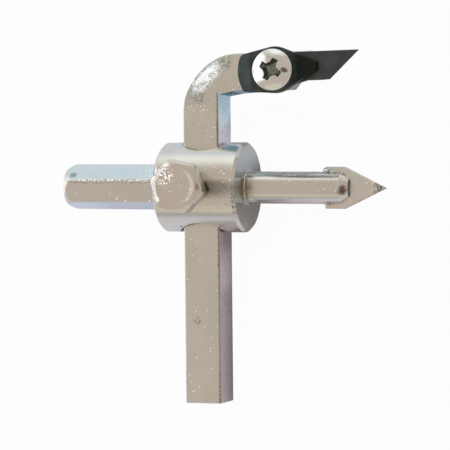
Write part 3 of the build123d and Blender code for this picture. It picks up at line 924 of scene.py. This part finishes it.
def add_bolt():
    """The clamp bolt: a forged hexagon head with a shallow dish and bruised corner, and its thread below."""
    sides, seat, seat_edge = 144, HEAD_TOP - BOLT_HEAD_HEIGHT, 0.08

    def place(x, y, z):
        return Vector((BOLT_X + x, y, z))

    def ring(reach, height):
        points = []
        for k in range(sides):
            turn = 2 * pi * k / sides
            x, y = reach(turn) * cos(turn), reach(turn) * sin(turn)
            points.append(place(x, y, height(x, y)))
        return points

    rings = [ring(lambda turn: 0.15 * i, head_top) for i in range(1, 39)]
    for share in (0.25, 0.5, 0.75, 0.92):
        rings.append(ring(lambda turn: FACE_RADIUS + (head_outline(turn) - FACE_RADIUS) * share, head_top))
    # Down the flats: a narrow rounded brink, and then straight to the seat
    for drop, inset in ((0.0, 0.05), (0.10, 0.0), (0.5, 0.0), (1.0, 0.0)):
        points = []
        for k in range(sides):
            turn = 2 * pi * k / sides
            out = head_outline(turn)
            brink = head_top(out * cos(turn), out * sin(turn))
            low = seat + seat_edge
            z = brink - drop if drop < 0.3 else brink - 0.1 + (low - brink + 0.1) * (drop - 0.1) / 0.9
            points.append(place((out - inset) * cos(turn), (out - inset) * sin(turn), z))
        rings.append(points)
    for share in (0.985, 0.80, 0.62):
        rings.append(ring(lambda turn: head_outline(turn) * share, lambda x, y: seat))
    rings += thread(place, seat - 0.02, BOLT_END, radius=4.0, depth=0.68, pitch=1.25, sides=sides, point=2.8)
    metal = zinc("bolt_zinc", (1, 1, 1), 0.18, bolt_marks, soft=0.3)
    return skin("hexagon_bolt", rings, metal, "clamp_bolt")


PAPER_WHITE = 0.99


def shown_white(nodes, shader, share, output):
    """Shows plain white paper to the camera, while reflections and light meet the given shader."""
    seen = nodes.times(nodes.add("ShaderNodeLightPath").outputs["Is Camera Ray"], share)
    white = nodes.add("ShaderNodeEmission", Color=(PAPER_WHITE, PAPER_WHITE, PAPER_WHITE, 1))
    blend = nodes.add("ShaderNodeMixShader", Fac=seen)
    nodes.plug(blend.inputs[1], shader)
    nodes.plug(blend.inputs[2], white.outputs[0])
    nodes.plug(output, blend.outputs[0])


def add_floor():
    """A wide sheet of matt white paper under the tool."""
    bpy.ops.mesh.primitive_plane_add(size=4.0, location=(0.04, 0, FLOOR))
    floor = bpy.context.object
    floor.name = "floor"
    s = Shader("floor_paper")
    s.colour, s.rough, s.height = (0.61, 0.63, 0.70, 1), 0.8, s.noise(0.8)
    s.finish(0.02, metallic=0.0)
    s.surface.inputs["Specular IOR Level"].default_value = 0.1
    shown_white(s, s.surface.outputs[0], 0.98, s.tree.nodes["Material Output"].inputs["Surface"])
    floor.data.materials.append(s.material)


# What the tool reflects: the colours of the room's parts
ROOM = (0.545, 0.482, 0.415)
FAR_WALL, LOW_FAR_WALL = (1.04, 1.06, 0.99), (0.72, 0.84, 0.88)
NEAR_WALL, LOW_NEAR_WALL = (0.68, 0.63, 0.51), (0.55, 0.59, 0.69)
SKIRTING = (0.28, 0.27, 0.27)
WINDOW, WINDOW_SIDE = (1.25, 1.25, 1.24), (0.74, 0.82, 0.88)
CAMERA_BODY = (0.12, 0.088, 0.078)


def add_studio():
    """A beige room with a bright window on the left, a pale far wall, the dark camera and a soft light."""
    world = bpy.data.worlds.new("studio")
    bpy.context.scene.world = world
    world.use_nodes = True
    w = Nodes(world.node_tree)
    # Directions are taken in the square tool frame: X right, Y up and Z towards the viewer
    turned = w.add("ShaderNodeMapping", Vector=w.add("ShaderNodeTexCoord").outputs["Generated"])
    turned.inputs["Rotation"].default_value = (-lie_angle, 0, 0)
    x, y, z = w.add("ShaderNodeSeparateXYZ", Vector=turned.outputs[0]).outputs
    in_front = w.step(z, -0.10, 0.0)
    sideways = w.times(w.plus(w.times(x, 0.877), w.times(z, -0.48)), 4.2)
    upwards = w.times(y, 8.0)
    from_viewer = w.plus(w.times(sideways, sideways), w.times(upwards, upwards))
    colour = w.mix(w.step(y, 0.71, 0.91), ROOM, FAR_WALL)
    colour = w.mix(w.times(w.step(y, 0.80, 0.90), w.step(z, 0.12, -0.02)), colour, LOW_FAR_WALL)
    colour = w.mix(w.step(y, -0.64, -0.80), colour, NEAR_WALL)
    below = w.step(y, -0.78, -0.86)
    colour = w.mix(w.times(below, w.step(z, 0.21, 0.17)), colour, LOW_NEAR_WALL)
    colour = w.mix(w.times(below, w.step(z, 0.32, 0.27), w.step(z, 0.17, 0.21)), colour, SKIRTING)
    window = w.times(w.step(x, -0.46, -0.66), w.step(y, 0.80, 0.60), w.step(y, -0.52, -0.36), in_front)
    colour = w.mix(window, colour, WINDOW)
    colour = w.mix(w.times(w.step(x, -0.982, -0.998), in_front), colour, WINDOW_SIDE)
    colour = w.mix(w.times(w.step(from_viewer, 1.3, 0.7), w.step(z, 0.2, 0.4)), colour, CAMERA_BODY)
    background = world.node_tree.nodes["Background"]
    w.plug(background.inputs["Color"], colour)
    shown_white(w, background.outputs[0], 1.0, world.node_tree.nodes["World Output"].inputs["Surface"])

    # The soft light over the table shows in no reflection, as behind a diffuser
    data = bpy.data.lights.new("overhead", "AREA")
    data.shape = "DISK"
    data.size = 0.5
    data.energy = 8.0
    light = bpy.data.objects.new("overhead", data)
    light.location = (-0.3, 0.35, 1.1)
    light.rotation_euler = (Vector((0.04, 0, 0)) - light.location).to_track_quat("-Z", "Y").to_euler()
    light.visible_glossy = False
    bpy.context.scene.collection.objects.link(light)


def dress(node, material):
    """Gives a CAD node its one material."""
    slots = frame["nodes"][node].data.materials
    slots.clear()
    slots.append(material)


# The stretch of the plating's fine lines: along the bar stock, or round what was turned
ALONG_X = (0.06, 1.0, 1.0)
ACROSS_X = (1.0, 0.10, 0.10)
ALONG_Y = (1.0, 0.06, 1.0)

dress("hub", zinc("hub_zinc", ACROSS_X, 0.20, hub_marks))
dress("pilot_rod", zinc("rod_zinc", ACROSS_X, 0.20, rod_marks))
dress("drive_shank", zinc("shank_zinc", ALONG_X, 0.20, shank_marks))
dress("pilot_tip", zinc("spade_zinc", ALONG_X, 0.32, tip_marks))
dress("arm", zinc("bar_zinc", ALONG_Y, 0.24, arm_marks, leaning=True, tint=0.10))
dress("blade", dark_steel("blade_steel", (0.072, 0.084, 0.088), (0.100, 0.110, 0.112), 0.36,
                          (0.25, 0.26, 0.26), 0.4))
dress("blade_clamp", dark_steel("clamp_oxide", (0.046, 0.063, 0.063), (0.074, 0.093, 0.090), 0.28,
                                (0.35, 0.38, 0.40), 0.8, clamp_marks))

add_screw()
add_bolt()
add_brazing()
add_camera()
add_floor()
add_studio()
bpy.context.scene.view_settings.view_transform = "Standard"
